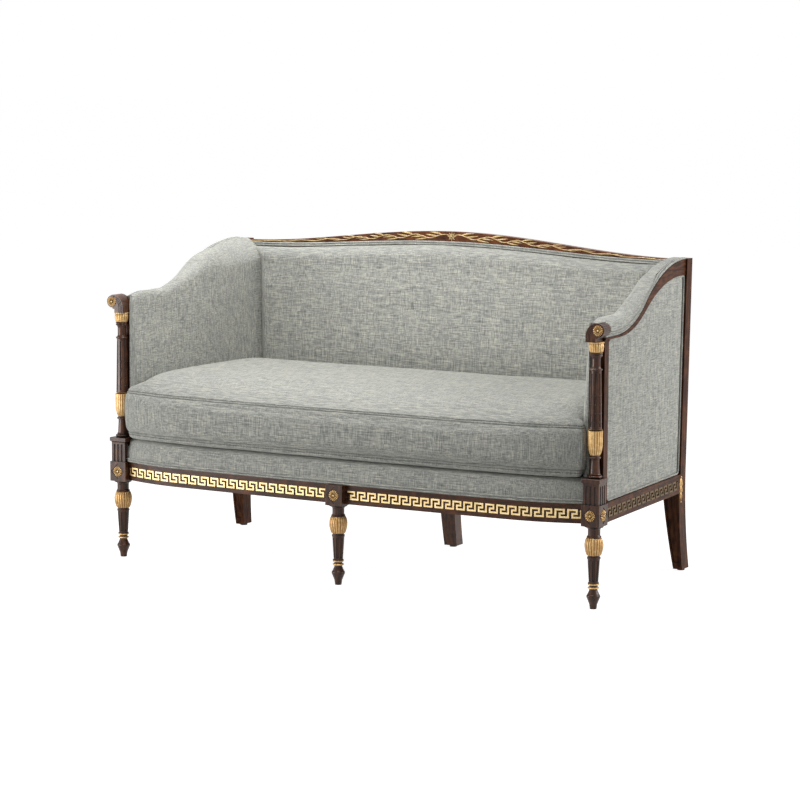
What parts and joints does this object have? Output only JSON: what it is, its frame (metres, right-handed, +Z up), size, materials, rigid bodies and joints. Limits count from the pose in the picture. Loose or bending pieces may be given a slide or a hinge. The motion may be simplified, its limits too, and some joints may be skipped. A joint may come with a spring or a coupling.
{
  "type": "loveseat",
  "caption": "Neoclassical loveseat with a bowed front, fluted gilt-mounted legs and columns, Greek key rails, sloping padded arms, a carved crest and a loose seat cushion.",
  "frame": {"origin": "on the floor, under the middle of the overall width and depth", "axes": "+Z up; the front faces -Y; +X runs to the right-hand end of the seat as seen when the front is faced"},
  "size_m": [1.483, 0.6848, 0.8825],
  "materials": {
    "beech": "raw sanded beech",
    "black": "matt black",
    "felt": "off-white needled felt",
    "gilt": "gold-leafed carved wood, burnished and lightly worn",
    "jute": "woven jute webbing",
    "linen": "grey-green slub linen weave over padding",
    "mahogany": "dark French-polished mahogany, satin gloss",
    "old_gilt": "antiqued gold leaf on carved wood",
    "steel": "plain drawn spring steel"
  },
  "bodies": {
    "frame": {"front_leg_left": "mahogany", "front_leg_right": "mahogany", "front_leg_centre": "mahogany", "front_rail": "mahogany", "side_rail_left": "mahogany", "side_rail_right": "mahogany", "back_rail": "beech", "rear_leg_left": "mahogany", "rear_leg_right": "mahogany", "rear_leg_centre": "mahogany", "front_stile_left": "mahogany", "front_stile_right": "mahogany", "arm_rail_left": "mahogany", "arm_rail_right": "mahogany", "arm_scroll_left": "mahogany", "arm_scroll_right": "mahogany", "crest_rail": "mahogany", "leg_bulbs": "gilt", "leg_rings": "gilt", "column_tulips": "gilt", "column_collars": "gilt", "block_rosettes": "gilt", "arm_rosettes": "gilt", "fret_front_left": "gilt", "fret_front_right": "gilt", "fret_side_left": "old_gilt", "fret_side_right": "old_gilt", "crest_carving": "gilt", "husk_drops": "gilt", "deck_pad": "linen", "deck_welt": "linen", "inside_back_pad": "linen", "back_welt": "linen", "inside_arm_left": "linen", "inside_arm_right": "linen", "arm_welt_left": "linen", "arm_welt_right": "linen", "outside_arm_left": "linen", "outside_arm_right": "linen", "panel_welt_left": "linen", "panel_welt_right": "linen", "outside_back": "linen", "dust_cover": "black", "corner_blocks": "beech", "seat_stretchers": "beech", "seat_springs": "steel", "spring_clips": "steel", "insulator": "felt", "back_uprights": "beech", "back_tack_rail": "beech", "back_webbing": "jute", "arm_tack_rails": "beech", "arm_uprights": "beech", "rear_glides": "black", "rail_dowels": "beech"},
    "cushion": {"seat_cushion": "linen"}
  },
  "joints": [
    {"name": "cushion_lift", "type": "slide", "parent": "frame", "child": "cushion", "axis": [0, 0, 1], "range_m": [0, 0.56]}
  ]
}
